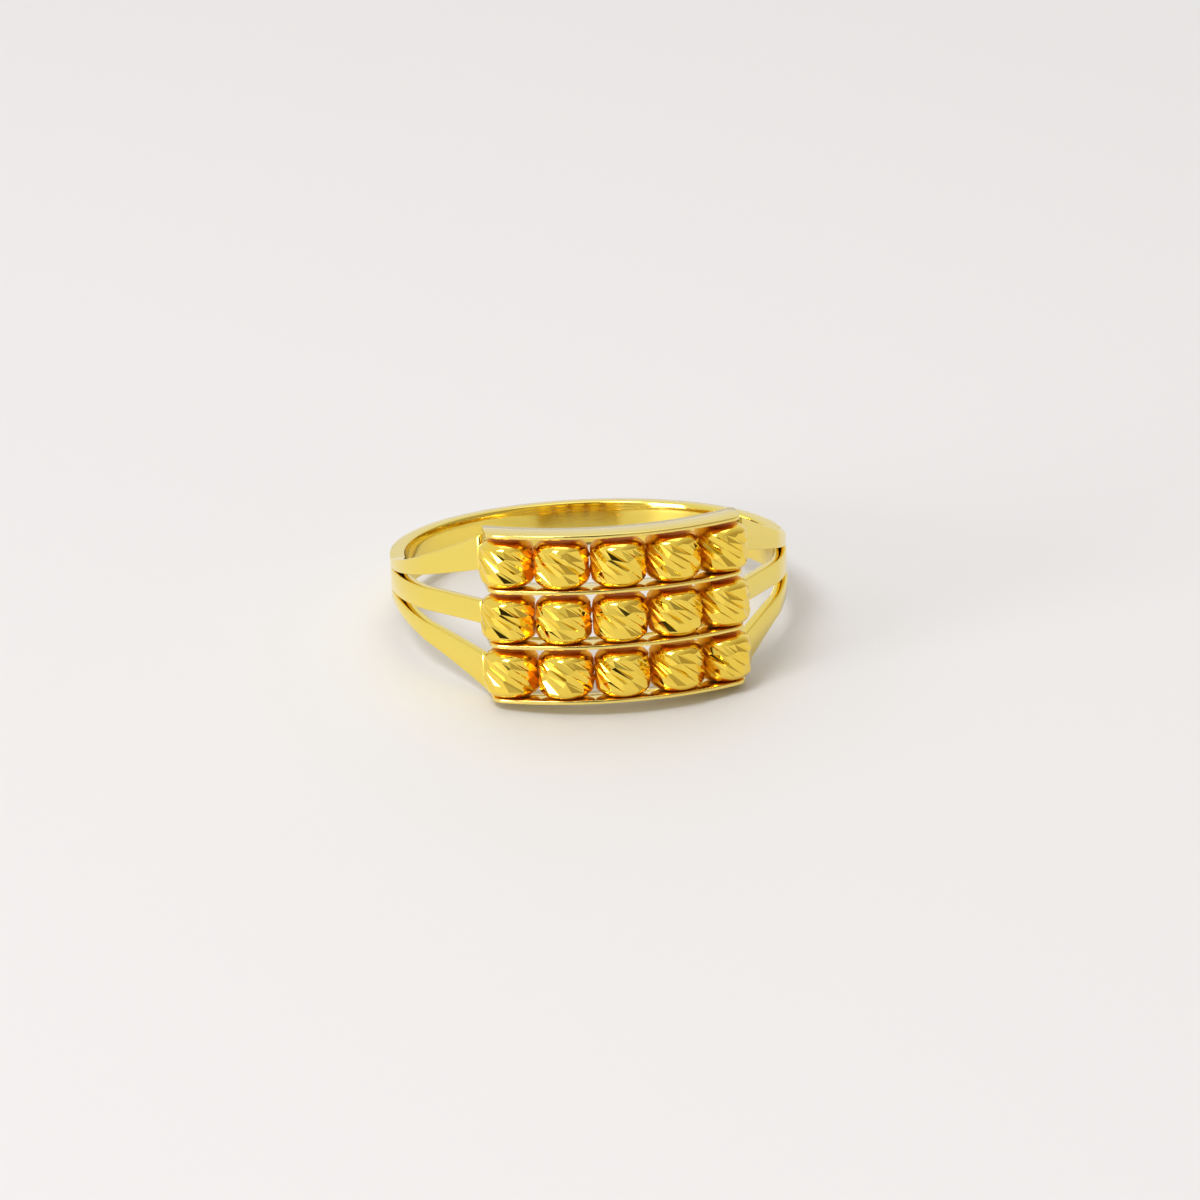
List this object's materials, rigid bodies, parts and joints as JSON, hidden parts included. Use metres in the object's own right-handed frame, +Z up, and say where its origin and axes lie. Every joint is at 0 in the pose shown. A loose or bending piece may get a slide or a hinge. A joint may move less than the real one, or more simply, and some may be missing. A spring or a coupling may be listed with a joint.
{
  "type": "finger ring with three rows of gold beads",
  "caption": "Yellow gold finger ring whose split band fans out to rows of diamond-cut beads held between thin curved rails.",
  "frame": {"origin": "middle of the ring's box, on the surface that it lies on", "axes": "+Z up, -Y towards the head of beads, X along the rows of beads; the finger axis leans 10.1 degrees from +Z towards +Y"},
  "size_m": [0.0186, 0.0208, 0.0084],
  "materials": {
    "polished_gold": "high polish yellow gold",
    "cut_gold": "diamond-cut yellow gold with polished ends"
  },
  "bodies": {
    "root": {"shank": "polished_gold", "rail_1": "polished_gold", "rail_2": "polished_gold", "rail_3": "polished_gold", "rail_4": "polished_gold", "bead_r1_c1": "cut_gold", "bead_r1_c2": "cut_gold", "bead_r1_c3": "cut_gold", "bead_r1_c4": "cut_gold", "bead_r1_c5": "cut_gold", "bead_r2_c1": "cut_gold", "bead_r2_c2": "cut_gold", "bead_r2_c3": "cut_gold", "bead_r2_c4": "cut_gold", "bead_r2_c5": "cut_gold", "bead_r3_c1": "cut_gold", "bead_r3_c2": "cut_gold", "bead_r3_c3": "cut_gold", "bead_r3_c4": "cut_gold", "bead_r3_c5": "cut_gold"}
  },
  "joints": []
}
